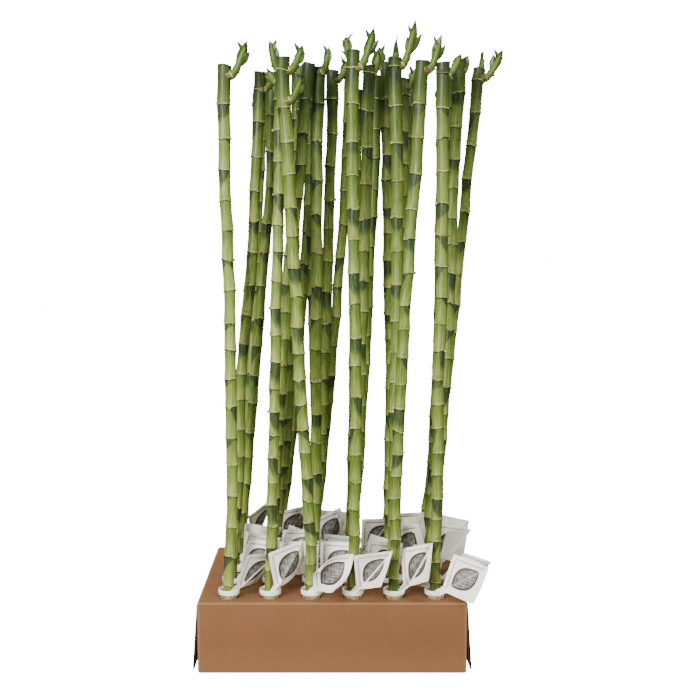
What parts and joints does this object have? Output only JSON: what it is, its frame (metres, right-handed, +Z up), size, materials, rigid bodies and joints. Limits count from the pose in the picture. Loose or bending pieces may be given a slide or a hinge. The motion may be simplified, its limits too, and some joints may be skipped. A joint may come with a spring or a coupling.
{
  "type": "lucky bamboo",
  "caption": "Cut lucky bamboo canes with short leaf shoots, each standing in a vial of water, held upright by a folded carton tray.",
  "frame": {"origin": "middle of the carton tray's underside", "axes": "+Z up along the canes, +X to the right across the columns of vials, +Y to the back"},
  "size_m": [0.4721, 0.338, 0.971],
  "materials": {
    "carton": "matt brown corrugated board",
    "cane": "smooth green stem skin, slightly waxy",
    "vial": "moulded plastic, satin"
  },
  "bodies": {
    "root": {"carton": "carton", "cane_1_1": "cane", "cane_2_1": "cane", "cane_3_1": "cane", "cane_4_1": "cane", "cane_5_1": "cane", "cane_6_1": "cane", "cane_1_2": "cane", "cane_2_2": "cane", "cane_3_2": "cane", "cane_4_2": "cane", "cane_5_2": "cane", "cane_6_2": "cane", "cane_1_3": "cane", "cane_2_3": "cane", "cane_3_3": "cane", "cane_4_3": "cane", "cane_5_3": "cane", "cane_6_3": "cane", "cane_1_4": "cane", "cane_2_4": "cane", "cane_3_4": "cane", "cane_4_4": "cane", "cane_5_4": "cane", "cane_6_4": "cane", "cane_1_5": "cane", "cane_2_5": "cane", "cane_3_5": "cane", "cane_4_5": "cane", "cane_5_5": "cane", "cane_6_5": "cane", "vial_1_1": "vial", "vial_2_1": "vial", "vial_3_1": "vial", "vial_4_1": "vial", "vial_5_1": "vial", "vial_6_1": "vial", "vial_1_2": "vial", "vial_2_2": "vial", "vial_3_2": "vial", "vial_4_2": "vial", "vial_5_2": "vial", "vial_6_2": "vial", "vial_1_3": "vial", "vial_2_3": "vial", "vial_3_3": "vial", "vial_4_3": "vial", "vial_5_3": "vial", "vial_6_3": "vial", "vial_1_4": "vial", "vial_2_4": "vial", "vial_3_4": "vial", "vial_4_4": "vial", "vial_5_4": "vial", "vial_6_4": "vial", "vial_1_5": "vial", "vial_2_5": "vial", "vial_5_5": "vial", "vial_6_5": "vial", "vials_3_5_and_4_5": "vial"}
  },
  "joints": []
}
